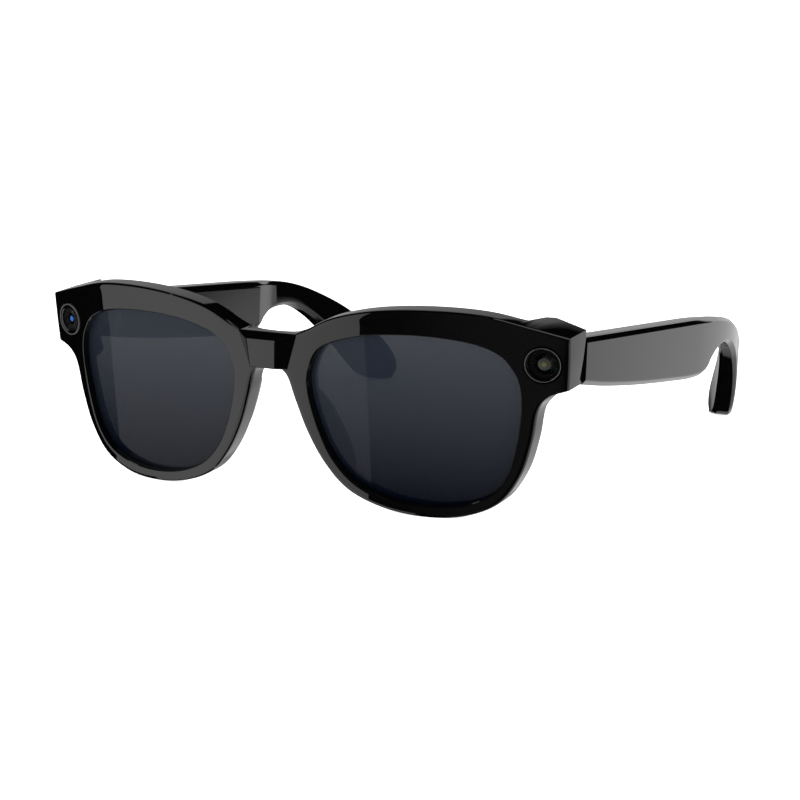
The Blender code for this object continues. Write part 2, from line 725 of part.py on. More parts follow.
def make_temple(name, side):
    place = on_side(side)
    inner_x = TEMPLE_X - temple_thickness(0.0)
    sections = [[place(*point) for point in temple_section(top, bottom)]
                for top, bottom in temple_stations()]
    shell = make("temple_shell_" + name, loft(sections), "frame_black")
    room = side_plate(place, ROOM, inner_x - 1.0, TEMPLE_X - WALL)
    combine(shell, cutter("room_" + name, room))
    combine(shell, cutter("core_bore_" + name, loft(core_sections(place, CORE_BORE, CORE_PATH))))
    tools = bmesh.new()
    for u, h in LEAF_SCREWS:
        cross_disc(place, u, h, SCREW_HOLE, inner_x - 1.0, inner_x + 2.0, tools)
    box(place, (69.6, -1.0, -8.6), (70.6, ROOM_FRONT + 1.0, -3.6), tools)
    combine(shell, cutter("flex_way_" + name, tools))
    combine(shell, cutter("sound_port_" + name,
                          box(place, (69.2, SPEAKER_U[0] + 1.2, -17.0),
                              (71.6, SPEAKER_U[1] - 1.2, -12.0))))

    cover = make("temple_cover_" + name,
                 side_plate(place, offset(ROOM, -GAP, True),
                            inner_x + 0.05, inner_x + COVER), "inner_black")
    make("core_wire_" + name,
         loft(core_sections(place, CORE_WIRE, [(81.5, -5.6)] + CORE_PATH[2:-1] + [(125.0, -21.0)])),
         "hinge_steel")
    make("speaker_" + name,
         soft_box(place, (69.1, SPEAKER_U[0], -12.6), (72.4, SPEAKER_U[1], -3.0), 0.5),
         "speaker_mesh")
    make("speaker_grille_" + name,
         box(place, (69.5, SPEAKER_U[0] + 1.5, -15.0), (71.3, SPEAKER_U[1] - 1.5, -14.2)),
         "speaker_mesh")
    make("temple_flex_" + name,
         box(place, (69.95, 0.6, -8.2), (70.2, 14.0, -4.0)), "flex_film")
    make("temple_microphone_" + name,
         box(place, (69.2, 15.4, -9.8), (70.4, 18.4, -7.8)), "trim_metal")
    return place, shell, cover


def make_right_temple():
    """The camera's side: main board, touch film and the capture button on top."""
    place, shell, cover = make_temple("right", RIGHT)
    combine(shell, cutter("button_slot", box(place, *BUTTON_SLOT)))
    make("main_board", box(place, (70.7, 20.0, -11.0), (71.5, 61.0, -3.9)), "circuit_board")
    make("processor_shield",
         soft_box(place, (68.9, 36.0, -10.4), (70.4, 54.0, -4.2), 0.25), "trim_metal")
    make("touch_film",
         box(place, (72.3, 22.0, -11.2), (72.55, 58.0, -3.4)), "flex_film")
    make("capture_switch", soft_box(place, (69.4, 24.2, -3.5), (70.4, 29.2, -2.6), 0.15),
         "trim_metal")
    make("capture_button",
         soft_box(place, (69.25, 21.6, -1.9), (71.95, 31.8, 0.7), 0.35), "frame_black")


def make_left_temple():
    """The status light's side: battery, antenna and the power slider inside."""
    place, shell, cover = make_temple("left", LEFT)
    combine(cover, cutter("slider_slot", box(place, *SLIDER_SLOT)))
    make("power_slider",
         soft_box(place, (66.7, 13.0, -7.3), (68.9, 16.4, -5.5), 0.2), "inner_black")
    make("power_switch", soft_box(place, (70.5, 11.8, -7.6), (71.9, 20.4, -4.6), 0.2),
         "trim_metal")
    make("charge_board", box(place, (70.9, 22.0, -11.2), (71.6, 30.5, -2.8)), "circuit_board")
    make("battery", soft_box(place, (69.0, 31.5, -12.2), (72.3, 62.5, -2.4), 0.6), "cell_wrap")
    make("antenna", box(place, (72.3, 12.0, -3.6), (72.55, 29.5, -1.9)), "flex_film")


def main():
    clear_scene()
    make_front_shell()
    make_lenses()
    make_nose_pads()
    make_brow_parts()
    make_camera()
    make_status_light()
    make_end_covers()
    make_hinges()
    make_right_temple()
    make_left_temple()


main()
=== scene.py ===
"""The looks of the smart glasses: fine shells, lenses, camera and light, and the studio.

Sizes are in millimetres in the same outlines as the CAD and become metres in
world(); x runs across the face, y from the front to the ears, z up.
"""

import json
from math import cos, hypot, pi, radians, sin, tan

import bmesh
import bpy
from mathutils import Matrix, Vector

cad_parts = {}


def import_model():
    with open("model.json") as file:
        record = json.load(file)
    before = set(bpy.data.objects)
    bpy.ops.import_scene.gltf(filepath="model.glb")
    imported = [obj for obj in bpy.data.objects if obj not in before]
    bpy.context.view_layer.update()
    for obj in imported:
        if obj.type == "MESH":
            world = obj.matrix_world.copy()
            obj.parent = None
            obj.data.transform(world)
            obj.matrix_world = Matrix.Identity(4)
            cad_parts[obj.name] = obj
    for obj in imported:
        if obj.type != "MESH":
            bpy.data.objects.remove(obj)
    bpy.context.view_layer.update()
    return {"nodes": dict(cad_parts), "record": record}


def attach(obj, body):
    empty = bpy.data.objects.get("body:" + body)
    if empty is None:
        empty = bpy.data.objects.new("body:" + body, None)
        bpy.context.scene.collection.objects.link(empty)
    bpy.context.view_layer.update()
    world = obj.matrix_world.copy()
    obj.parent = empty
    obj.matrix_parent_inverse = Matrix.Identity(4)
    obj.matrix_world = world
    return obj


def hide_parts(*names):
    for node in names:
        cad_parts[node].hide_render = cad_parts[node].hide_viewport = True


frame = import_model()
NODES = frame["nodes"]

MM = 0.001
WELD = 0.005 * MM         # vertices of the two halves that are one
MIDDLE_NEAR = 0.001 * MM  # what counts as lying in the middle plane

# ------------------------------------------------------------- driving sizes

HALF_WIDTH = 74.0
FLOOR_DROP = 44.95
MIDDLE_Y = 66.08
WRAP_SAG = 12.35
FRONT_TILT = radians(4.7)
TEMPLE_TILT = radians(4.75)
GAP = 0.3

RIM_DEPTH = 5.2
FACE_ROUND = 1.0          # rounding of the front's outer edge
EDGE_ROUND = 0.5
SEAM_ROUND = 0.25
GROOVE_FRONT = 1.9
GROOVE_BACK = 4.5
GROOVE_DEPTH = 1.0
BLOCK_INNER_X = 64.6
BLOCK_RISE_X = (62.5, 65.5)   # where the rim deepens into the end block
BLOCK_RISE_Z = (-17.0, -13.9)
STEPS = 6                 # mesh steps between two outline stations
ROUND_SIDES = 72          # mesh sides of a circle
SHARP = 32.0              # degrees between faces that keep a hard edge

STATIONS = [
    ((0.0, -3.2), (11.9, -8.7)),
    ((5.5, -2.9), (13.0, -6.8)),
    ((10.0, -1.4), (15.0, -4.9)),
    ((17.5, 2.2), (19.5, -3.0)),
    ((28.0, 4.6), (28.0, -1.3)),
    ((41.0, 5.5), (40.0, -0.8)),
    ((54.0, 4.9), (51.5, -1.9)),
    ((64.5, 2.6), (58.2, -4.4)),
    ((74.0, 0.2), (61.3, -8.0)),
    ((73.8, -6.0), (62.4, -10.5)),
    ((73.4, -12.2), (62.9, -13.5)),
    ((69.3, -13.7), (62.9, -16.5)),
    ((66.6, -17.2), (62.6, -19.5)),
    ((65.0, -25.0), (61.5, -26.0)),
    ((62.2, -33.3), (59.2, -33.3)),
    ((57.0, -40.4), (54.7, -38.6)),
    ((48.5, -44.2), (47.3, -41.5)),
    ((38.5, -45.0), (38.5, -42.2)),
    ((28.5, -43.6), (29.5, -40.9)),
    ((19.7, -39.9), (21.7, -37.5)),
    ((13.8, -33.8), (16.4, -32.0)),
    ((9.6, -26.5), (13.2, -25.5)),
    ((6.6, -18.6), (11.2, -18.8)),
    ((4.7, -13.0), (10.6, -14.5)),
    ((2.4, -10.9), (10.8, -12.2)),
    ((0.0, -10.4), (11.2, -10.6)),
]
CORNERS = (8, 10)

BRIDGE_PANEL = 3.0
BRIDGE_BASE = [(-8.6, -2.4), (8.6, -2.4), (5.3, -11.4), (-5.3, -11.4)]
BRIDGE_TOP = [(-4.1, -3.6), (4.1, -3.6), (3.6, -10.6), (-3.6, -10.6)]
BRIDGE_DEPTHS = (2.2, 0.25, -BRIDGE_PANEL)
BRIDGE_BEVEL = 0.3
BROW_PATH = [(0.0, -6.2), (8.0, -4.9), (15.0, -1.5), (22.0, 1.0), (31.0, 2.1),
             (41.0, 2.4), (51.0, 1.8), (58.0, 0.3), (62.0, -1.2), (67.5, -3.6)]
CHANNEL_HALF = 1.3
CHANNEL_FRONT = 2.8
LENS_FACES = (2.2, 4.2)
LENS_PLAY = 0.4           # between a lens's edge and the bottom of its groove
LENS_RINGS = (1.0, 0.97, 0.9, 0.8, 0.68, 0.54, 0.4, 0.26, 0.12)
PAD_FOOT = [(6.0, -16.0), (8.0, -21.0), (10.6, -27.0), (13.6, -32.0), (17.0, -36.2)]
PAD_BASE = 0.6
PAD_RISE = 4.6
PAD_ROUND = 0.35

EYE_X = 68.0
EYE_Z = -6.2
EYE_RECESS = 4.5
CUT_CLEAR = 2.5           # how far a recess's cutter stands off the face
CAMERA_RECESS_END = 1.0
LIGHT_RECESS_END = 1.7
EYE_BORE = 2.6
EYE_BORE_START = 0.5
EYE_BORE_END = 7.5

SEAM_Y = 9.6
SEAM_Z = -0.8
SEAM_HALF_GAP = 0.15

TEMPLE_X = 74.2
TEMPLE_STATIONS = [
    ((0.2, 0.0), (0.2, -11.2)),
    ((15.5, 0.0), (15.5, -12.8)),
    ((35.5, 0.0), (35.6, -14.2)),
    ((56.0, 0.0), (56.2, -15.1)),
    ((70.5, 0.0), (71.0, -15.5)),
    ((79.0, -0.1), (79.5, -14.6)),
    ((84.0, -0.2), (83.8, -11.6)),
    ((90.0, -0.4), (89.0, -9.2)),
    ((98.0, -1.1), (95.5, -8.1)),
    ((106.0, -2.7), (102.0, -8.8)),
    ((114.0, -5.4), (109.0, -12.0)),
    ((122.5, -9.4), (116.0, -17.0)),
    ((130.0, -14.6), (122.0, -22.2)),
    ((136.0, -20.2), (126.5, -27.0)),
    ((139.6, -25.2), (130.2, -30.8)),
    ((140.4, -29.4), (133.4, -32.5)),
    ((138.9, -32.0), (136.6, -32.9)),
]
TEMPLE_BEVEL = 1.1
BEND_START = 70.0
BEND_LENGTH = 68.0
BEND_DROP = 14.2
ROOM_THICK = 6.8
BEND_THICK = 5.0
TIP_THICK = 6.0
WALL = 1.3
ROOM_FRONT = 10.5
ROOM = [(ROOM_FRONT, -1.4), (80.0, -1.7), (80.0, -12.6), (76.5, -13.8), (70.0, -14.1),
        (57.0, -13.7), (38.0, -12.9), (20.0, -11.7), (ROOM_FRONT, -10.8)]
# Boxes in a temple's own x, u and h, corner to corner.
SPEAKER_U = (64.0, 75.0)
SPEAKER_RIM = 1.2
SPEAKER_CUT = ((69.2, SPEAKER_U[0] + SPEAKER_RIM, -17.0), (71.6, SPEAKER_U[1] - SPEAKER_RIM, -12.0))
BUTTON_SLOT = ((68.9, 21.2, -3.0), (72.3, 32.2, 1.0))
BUTTON = ((69.25, 21.6, -1.9), (71.95, 31.8, 0.7))
BUTTON_SLICES = 20
BUTTON_ROUND = 0.5
BUTTON_DROP = 0.35        # how far its top falls at both ends
BUTTON_INSET = 0.3        # how far its long sides draw in there
BUTTON_DIP = 0.12
HINGE_POCKET = ((66.7, -6.0, -10.6), (72.6, 1.0, -1.4))
BRACKET_SEAT = ((60.0, -6.9, -9.9), (BLOCK_INNER_X, 1.0, -2.7))

LEFT = 1
RIGHT = -1
SIDES = {"left": LEFT, "right": RIGHT}

# ---------------------------------------------------------- camera and studio

CAMERA_PLACE = (0.26506, -0.48773, 0.12414)
CAMERA_DOWN = 0.19916     # radians below level
CAMERA_TURN = 0.5089      # radians round from square to the face
CAMERA_LENS = 92.54
SENSOR = 36.0
NEAREST = 0.01
FLOOR_REACH = 3.0
PAPER = (0.9, 0.9, 0.9)
PAPER_ROUGHNESS = 0.9
PAPER_GLOW = 1.0
LIGHT_STRENGTH = 1.15
WHITE = (1.0, 1.0, 1.0, 1.0)

# The studio by the direction that a surface mirrors: brightness by degrees round
# from straight ahead of the face towards +x, and overhead by the sine of the height.
AROUND = [(-180, 1.0), (-172, 0.9), (-167, 0.4), (-141, 0.35), (-137, 0.0), (-40, 0.0),
          (-13, 0.01), (-1, 0.05), (10, 0.06), (20, 0.0), (80, 0.0), (92, 0.55), (110, 0.6),
          (142, 0.65), (154, 0.57), (160.5, 0.95), (180, 1.0)]
FRONT_BOX = (-66.1, -18.3)       # hard edges of the soft box before the face
IN_FRONT_BOX = [(-70, 0.7), (-50, 0.95), (-38, 1.0), (-15, 0.7)]
SLANT = 0.8               # how far the overhead flag leans towards +x
SLANT_END = 0.58          # no further lean beyond this share of +x
ABOVE = [(-1.5, 1.0), (0.29, 1.0), (0.31, 0.0), (0.85, 0.0), (0.95, 1.0), (1.5, 1.0)]


# --------------------------------------------------------------- coordinates

def world(x, y, z):
    """A point of the shared frame in metres, from the script's own millimetres."""
    return Vector((x, y - MIDDLE_Y, z + FLOOR_DROP)) * MM


def on_front(x, z, depth):
    """A point behind the wrapped, tilted face, by its depth."""
    y = -WRAP_SAG * (1 - (x / HALF_WIDTH) ** 2) - tan(FRONT_TILT) * z
    return world(x, y + depth * cos(FRONT_TILT), z + depth * sin(FRONT_TILT))


def in_temple(x, u, h):
    """A point of an open temple: u back from the seam, h up from its top edge."""
    y = SEAM_Y + u * cos(TEMPLE_TILT) + h * sin(TEMPLE_TILT)
    z = SEAM_Z - u * sin(TEMPLE_TILT) + h * cos(TEMPLE_TILT)
    return world(x, y, z)


def on_side(side):
    """Temple coordinates for one side, with x measured outwards."""
    return lambda x, u, h: in_temple(side * x, u, h)


def seam_depth(x, z):
    """The depth at which the front's end block meets the seam."""
    slope = tan(TEMPLE_TILT)
    face_y = -WRAP_SAG * (1 - (x / HALF_WIDTH) ** 2) - tan(FRONT_TILT) * z
    seam_y = SEAM_Y - SEAM_HALF_GAP + slope * (z - SEAM_Z)
    return (seam_y - face_y) / (cos(FRONT_TILT) - slope * sin(FRONT_TILT))


def smoothstep(value, low, high):
    t = min(1.0, max(0.0, (value - low) / (high - low)))
    return t * t * (3 - 2 * t)


def temple_outer_x(u):
    """The outer face, straight at first and then bent inwards."""
    bend = max(0.0, (u - BEND_START) / BEND_LENGTH)
    return TEMPLE_X - BEND_DROP * bend ** 3


def temple_thickness(u):
    """Thick over the electronics, slim at the bend and fuller at the tip."""
    slim = (ROOM_THICK - BEND_THICK) * smoothstep(u, 76.0, 92.0)
    full = (TIP_THICK - BEND_THICK) * smoothstep(u, 104.0, 128.0)
    return ROOM_THICK - slim + full


# -------------------------------------------------------------------- curves

def spline(points, steps=STEPS):
    """A smooth open curve through the points."""
    ends = [extend(points[1], points[0])] + list(points) + [extend(points[-2], points[-1])]
    result = []
    for p0, p1, p2, p3 in zip(ends, ends[1:], ends[2:], ends[3:]):
        for step in range(steps):
            result.append(catmull_rom(p0, p1, p2, p3, step / steps))
    result.append(tuple(points[-1]))
    return result


def extend(before, end):
    return tuple(2 * e - b for b, e in zip(before, end))


def catmull_rom(p0, p1, p2, p3, t):
    return tuple(
        0.5 * (2 * b + (c - a) * t + (2 * a - 5 * b + 4 * c - d) * t * t
               + (3 * b - a - 3 * c + d) * t ** 3)
        for a, b, c, d in zip(p0, p1, p2, p3)
    )


def outer_outline():
    """One half of the front's edge, with sharp corners at the end piece."""
    points = [outer for outer, inner in STATIONS]
    marks = [0, *CORNERS, len(points) - 1]
    outline = []
    for start, end in zip(marks, marks[1:]):
        outline += spline(points[start:end + 1])[:-1]
    return outline + [points[-1]]


def lens_outline():
    """The closed edge of one lens opening."""
    points = [inner for outer, inner in STATIONS]
    wrapped = spline(points[-3:] + points + points[:3])
    return wrapped[3 * STEPS:-3 * STEPS]


def offset(outline, distance):
    """Move a closed clockwise outline outwards, with mitred corners."""
    normals = []
    for (x0, z0), (x1, z1) in zip(outline, outline[1:] + outline[:1]):
        length = hypot(x1 - x0, z1 - z0)
        normals.append(((z0 - z1) / length, (x1 - x0) / length))
    moved = []
    for i, (x, z) in enumerate(outline):
        before, after = normals[i - 1], normals[i]
        mitre = 1 + before[0] * after[0] + before[1] * after[1]
        moved.append((x + distance * (before[0] + after[0]) / mitre,
                      z + distance * (before[1] + after[1]) / mitre))
    return moved


def fillet(corners, arc_steps=3):
    """Round a closed 3-D section: corners are (point, radius in metres)."""
    points = []
    count = len(corners)
    for i, (point, radius) in enumerate(corners):
        if radius <= 0:
            points.append(point)
            continue
        before = (corners[i - 1][0] - point).normalized() * radius
        after = (corners[(i + 1) % count][0] - point).normalized() * radius
        for step in range(arc_steps + 1):
            t = step / arc_steps
            points.append(point + before * (1 - t) ** 2 + after * t ** 2)
    return points


def circle(radius):
    """Points round a circle, none of them on its axes."""
    turns = [2 * pi * (i + 0.5) / ROUND_SIDES for i in range(ROUND_SIDES)]
    return [(radius * cos(a), radius * sin(a)) for a in turns]


# --------------------------------------------------------------- mesh helpers

def make(name, bm, material, sharp_angle=40.0):
    """Turn a bmesh into a smooth-shaded object with its sharp edges marked."""
    bmesh.ops.recalc_face_normals(bm, faces=bm.faces)
    mesh = bpy.data.meshes.new(name)
    bm.to_mesh(mesh)
    bm.free()
    mesh.shade_smooth()
    mesh.set_sharp_from_angle(angle=radians(sharp_angle))
    made = bpy.data.objects.new(name, mesh)
    bpy.context.scene.collection.objects.link(made)
    if material:
        mesh.materials.append(material)
    return made


def cut(target, bm, operation="DIFFERENCE"):
    """Apply one exact Boolean and remove its tool."""
    tool = make("tool", bm, None)
    modifier = target.modifiers.new("cut", "BOOLEAN")
    modifier.operation = operation
    modifier.solver = "EXACT"
    modifier.object = tool
    settle(target)
    bpy.data.objects.remove(tool, do_unlink=True)


def settle(target):
    """Turn an object's modifiers into its mesh."""
    graph = bpy.context.evaluated_depsgraph_get()
    mesh = bpy.data.meshes.new_from_object(target.evaluated_get(graph))
    target.modifiers.clear()
    old = target.data
    target.data = mesh
    bpy.data.meshes.remove(old)


def even_normals(target):
    """Let large faces stay flat-shaded beside the small faces of their rounded edges."""
    modifier = target.modifiers.new("even normals", "WEIGHTED_NORMAL")
    modifier.keep_sharp = True
    modifier.weight = 60


def ring_faces(bm, loops):
    """Skin each pair of neighbouring loops with a band of four-sided faces."""
    for one, two in zip(loops, loops[1:]):
        for i in range(len(one)):
            j = (i + 1) % len(one)
            bm.faces.new((one[i], one[j], two[j], two[i]))


def loft(sections, bm=None):
    """A closed solid through point rings of equal count, added to bm if given."""
    bm = bm or bmesh.new()
    loops = [[bm.verts.new(point) for point in section] for section in sections]
    ring_faces(bm, loops)
    bm.faces.new(loops[0])
    bm.faces.new(loops[-1])
    return bm


def turned(x, profile):
    """A ring or disc turned about an eye's axis: profile is closed (radius, depth)."""
    bm = bmesh.new()
    loops = []
    for radius, depth in profile:
        if radius < 1e-6:
            loops.append([bm.verts.new(on_front(x, EYE_Z, depth))])
        else:
            loops.append([bm.verts.new(on_front(x + a, EYE_Z + b, depth))
                          for a, b in circle(radius)])
    for one, two in zip(loops, loops[1:] + loops[:1]):
        if len(one) == 1 and len(two) == 1:
            continue
        for i in range(ROUND_SIDES):
            j = (i + 1) % ROUND_SIDES
            ring = [one[i % len(one)], one[j % len(one)], two[j % len(two)], two[i % len(two)]]
            bm.faces.new(list(dict.fromkeys(ring)))
    return bm


def front_disc(x, z, radius, front, back, bm=None):
    """A disc behind a point of the face, between two depths."""
    rim = circle(radius)
    return loft([[on_front(x + a, z + b, d) for a, b in rim] for d in (front, back)], bm)


def box(place, first, second, bm=None):
    """A box between two corners, in the coordinates of place."""
    (a0, b0, c0), (a1, b1, c1) = first, second
    ring = [(a0, b0), (a1, b0), (a1, b1), (a0, b1)]
    return loft([[place(a, b, c) for a, b in ring] for c in (c0, c1)], bm)


def side_plate(place, outline, x0, x1):
    """A side-view outline made solid between two distances from the middle."""
    return loft([[place(x, u, h) for u, h in outline] for x in (x0, x1)])


# ------------------------------------------------------------------ materials

# The sockets of a colour Mix node, which share their names with its other kinds.
MIX_FACTOR, MIX_A, MIX_B = 0, 6, 7
MIX_COLOUR = 2
BUMP_DEPTH = 0.02 * MM
TINT_LOW, TINT_HIGH = 3.0 * MM, 44.0 * MM     # the lens gradient, above the table
LENS_OPACITY = (0.95, 0.865)                  # low down and at the brow


def shader(name, colour, roughness, metallic=0.0, ior=1.5):
    made = bpy.data.materials.new(name)
    made.use_nodes = True
    principled = made.node_tree.nodes["Principled BSDF"]
    principled.inputs["Base Color"].default_value = (*colour, 1.0)
    principled.inputs["Roughness"].default_value = roughness
    principled.inputs["Metallic"].default_value = metallic
    principled.inputs["IOR"].default_value = ior
    return made, made.node_tree, principled


def add(tree, kind, links=(), **settings):
    """Add a node with its settings; links are (input name or number, socket)."""
    node = tree.nodes.new(kind)
    for key, value in settings.items():
        setattr(node, key, value)
    for key, socket in links:
        tree.links.new(socket, node.inputs[key])
    return node


def place_of(tree):
    """The point being shaded, in metres."""
    return add(tree, "ShaderNodeTexCoord").outputs["Object"]


def spread(tree, factor, low, high):
    """A factor from 0 to 1 spread between two values."""
    node = add(tree, "ShaderNodeMapRange", [("Value", factor)])
    node.inputs["To Min"].default_value = low
    node.inputs["To Max"].default_value = high
    return node.outputs["Result"]


def grain(tree, principled, scale, low, high, bump, stretch=(1, 1, 1)):
    """Fine uneven polish: noise in the roughness and a faint bump."""
    mapping = add(tree, "ShaderNodeMapping", [("Vector", place_of(tree))])
    mapping.inputs["Scale"].default_value = stretch
    noise = add(tree, "ShaderNodeTexNoise", [("Vector", mapping.outputs["Vector"])])
    noise.inputs["Scale"].default_value = scale
    noise.inputs["Detail"].default_value = 4.0
    tree.links.new(spread(tree, noise.outputs["Fac"], low, high), principled.inputs["Roughness"])
    bumps = add(tree, "ShaderNodeBump", [("Height", noise.outputs["Fac"])])
    bumps.inputs["Strength"].default_value = bump
    bumps.inputs["Distance"].default_value = BUMP_DEPTH
    tree.links.new(bumps.outputs["Normal"], principled.inputs["Normal"])
    return noise.outputs["Fac"]


def tint(tree, principled, factor, first, second):
    """Blend the base colour from first to second by a factor."""
    mix = add(tree, "ShaderNodeMix", [(MIX_FACTOR, factor)], data_type="RGBA")
    mix.inputs[MIX_A].default_value = (*first, 1.0)
    mix.inputs[MIX_B].default_value = (*second, 1.0)
    tree.links.new(mix.outputs[MIX_COLOUR], principled.inputs["Base Color"])


def frame_black():
    """Polished black moulding, with the faint unevenness of a hand-buffed shell."""
    made, tree, principled = shader("frame black", (0.001,) * 3, 0.01, ior=1.6)
    factor = grain(tree, principled, 900.0, 0.0, 0.02, 0.01)
    tint(tree, principled, factor, (0.0008,) * 3, (0.0014,) * 3)
    return made


def satin_black():
    """The duller black of the inner parts."""
    made, tree, principled = shader("satin black", (0.004,) * 3, 0.1, ior=1.6)
    factor = grain(tree, principled, 2500.0, 0.05, 0.12, 0.04)
    tint(tree, principled, factor, (0.0022, 0.0022, 0.0024), (0.0042, 0.0042, 0.0045))
    return made


def lens_tint():
    """Blue-grey gradient tint, lighter and a little clearer towards the brow."""
    made, tree, principled = shader("lens tint", (0.02, 0.023, 0.03), 0.01, ior=1.24)
    parts = add(tree, "ShaderNodeSeparateXYZ", [("Vector", place_of(tree))])
    height = add(tree, "ShaderNodeMapRange", [("Value", parts.outputs["Z"])])
    height.inputs["From Min"].default_value = TINT_LOW
    height.inputs["From Max"].default_value = TINT_HIGH
    share = height.outputs["Result"]
    tint(tree, principled, share, (0.0014, 0.0024, 0.0066), (0.0174, 0.0218, 0.0315))
    tree.links.new(spread(tree, share, *LENS_OPACITY), principled.inputs["Alpha"])
    return made


def metal(name, colour, roughness, stretch=(1, 1, 1)):
    """Metal with a fine grain, closer-set along the axes that stretch enlarges."""
    made, tree, principled = shader(name, colour, roughness, metallic=1.0)
    factor = grain(tree, principled, 3000.0, 0.7 * roughness, 1.5 * roughness, 0.15,
                   stretch=stretch)
    tint(tree, principled, factor, [0.8 * c for c in colour], colour)
    return made


def plastic(name, first, second, roughness, bump=0.2):
    """Matt plastic, film or paint, mottled between two colours."""
    made, tree, principled = shader(name, first, roughness)
    factor = grain(tree, principled, 1500.0, 0.8 * roughness, 1.25 * roughness, bump)
    tint(tree, principled, factor, first, second)
    return made


def clear_window():
    """Thin coated cover glass."""
    made, tree, principled = shader("cover glass", (0.002, 0.002, 0.003), 0.02, ior=1.45)
    grain(tree, principled, 800.0, 0.01, 0.03, 0.01)
    principled.inputs["Alpha"].default_value = 0.12
    return made


def painted_glint_element():
    """The camera's front element: a painted blue glint in its base colour, bright blue where it
    faces the view and dark blue towards grazing angles.
    """
    made, tree, principled = shader("element with painted blue glint", (0.01, 0.03, 0.09), 0.04, ior=1.7)
    facing = add(tree, "ShaderNodeLayerWeight")
    facing.inputs["Blend"].default_value = 0.35
    # painted glint: the base colour runs from bright blue facing the view to dark blue at grazing
    # angles
    tint(tree, principled, facing.outputs["Facing"], (0.05, 0.23, 0.75), (0.004, 0.015, 0.08))
    grain(tree, principled, 600.0, 0.02, 0.05, 0.01)
    return made


def circuit_board():
    made, tree, principled = shader("circuit board", (0.01, 0.07, 0.03), 0.45)
    cells = add(tree, "ShaderNodeTexVoronoi", [("Vector", place_of(tree))])
    cells.inputs["Scale"].default_value = 900.0
    tint(tree, principled, cells.outputs["Distance"], (0.02, 0.14, 0.06), (0.006, 0.05, 0.02))
    return made


def speaker_mesh():
    made, tree, principled = shader("speaker mesh", (0.02,) * 3, 0.5, metallic=0.6)
    cells = add(tree, "ShaderNodeTexVoronoi", [("Vector", place_of(tree))])
    cells.inputs["Scale"].default_value = 2200.0
    tint(tree, principled, cells.outputs["Distance"], (0.002,) * 3, (0.09,) * 3)
    bumps = add(tree, "ShaderNodeBump", [("Height", cells.outputs["Distance"])])
    bumps.inputs["Strength"].default_value = 0.6
    bumps.inputs["Distance"].default_value = 0.1 * MM
    tree.links.new(bumps.outputs["Normal"], principled.inputs["Normal"])
    return made


# By the record's material slots; step black and yellow die dress pieces only.
MATERIALS = {
    "frame_black": frame_black(),
    "inner_black": satin_black(),
    "lens_tint": lens_tint(),
    "clear_window": clear_window(),
    # painted sheen: this matt grey stands in for the light that the metal trim would reflect
    "trim_metal": plastic("trim grey with painted sheen", (0.05, 0.05, 0.053), (0.08, 0.08, 0.084), 0.25),
    "hinge_steel": metal("hinge steel", (0.5, 0.5, 0.51), 0.25, (1, 1, 8)),
    "contact_gold": metal("contact gold", (0.8, 0.58, 0.26), 0.2),
    "circuit_board": circuit_board(),
    "flex_film": plastic("flex film", (0.3, 0.13, 0.03), (0.45, 0.22, 0.06), 0.35),
    "cell_wrap": plastic("cell wrap", (0.25, 0.26, 0.28), (0.34, 0.35, 0.37), 0.35),
    "optic_black": plastic("optic black", (0.002, 0.002, 0.002), (0.006, 0.006, 0.007), 0.4,
                           bump=0.02),
    "step_black": plastic("step black", (0.012, 0.012, 0.011), (0.03, 0.03, 0.026), 0.3,
                          bump=0.02),
    "light_resin": plastic("light resin", (0.035, 0.035, 0.03), (0.055, 0.055, 0.046), 0.3),
    "yellow_die": plastic("yellow die", (0.1, 0.1, 0.02), (0.15, 0.14, 0.03), 0.4),
    "speaker_mesh": speaker_mesh(),
}


def show(piece, body, slot, *nodes):
    """Put a finished piece on its body, in place of any CAD nodes; slot is not used."""
    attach(piece, body)
    if nodes:
        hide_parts(*nodes)


# ---------------------------------------------------------------------- front

def rim_section(outer, inner, inner_normal, place):
    """A slice of the front between its outlines, deepened into the end block."""
    (ox, oz), (ix, iz) = outer, inner
    block = smoothstep(ox, *BLOCK_RISE_X) * smoothstep(oz, *BLOCK_RISE_Z)
    back = RIM_DEPTH + block * (seam_depth(ox, oz) - RIM_DEPTH)
    share = 0.5
    if block > 0:
        share = min(0.75, max(0.25, (BLOCK_INNER_X - ix) / (ox - ix)))

    def between(part):
        return ix + (ox - ix) * part, iz + (oz - iz) * part

    wall = between(share)
    wall_back = RIM_DEPTH + block * (seam_depth(*wall) - RIM_DEPTH)
    groove = (ix + inner_normal[0] * GROOVE_DEPTH, iz + inner_normal[1] * GROOVE_DEPTH)
    across = [between(part) for part in (0.3, 0.5, 0.7)]
    corners = [
        (inner, 0.0, EDGE_ROUND),
        *((point, 0.0, 0.0) for point in across),
        (outer, 0.0, FACE_ROUND),
        (outer, back, SEAM_ROUND),
        (wall, wall_back, 0.0),
        (between(share - 0.03), RIM_DEPTH, 0.0),
        (inner, RIM_DEPTH, EDGE_ROUND),
        (inner, GROOVE_BACK, 0.0),
        (groove, GROOVE_BACK, 0.0),
        (groove, GROOVE_FRONT, 0.0),
        (inner, GROOVE_FRONT, 0.0),
    ]
    return fillet([(place(*point, depth), radius * MM) for point, depth, radius in corners])


def front_body():
    """Both halves of the front as one closed ring mesh, welded at x = 0."""
    outer, inner = outer_outline(), lens_outline()
    inner_far = offset(inner, 1.0)
    bm = bmesh.new()
    for side in SIDES.values():
        def place(x, z, depth):
            return on_front(side * x, z, depth)
        sections = []
        for o, i, far in zip(outer, inner, inner_far):
            normal = (far[0] - i[0], far[1] - i[1])
            sections.append([bm.verts.new(p) for p in rim_section(o, i, normal, place)])
        for k, one in enumerate(sections):
            two = sections[(k + 1) % len(sections)]
            for m in range(len(one)):
                n = (m + 1) % len(one)
                corners = (one[m], one[n], two[n], two[m])
                if k == len(sections) - 1 and all(abs(v.co.x) < MIDDLE_NEAR for v in corners):
                    continue
                bm.faces.new(corners)
    bmesh.ops.remove_doubles(bm, verts=bm.verts, dist=WELD)
    return bm


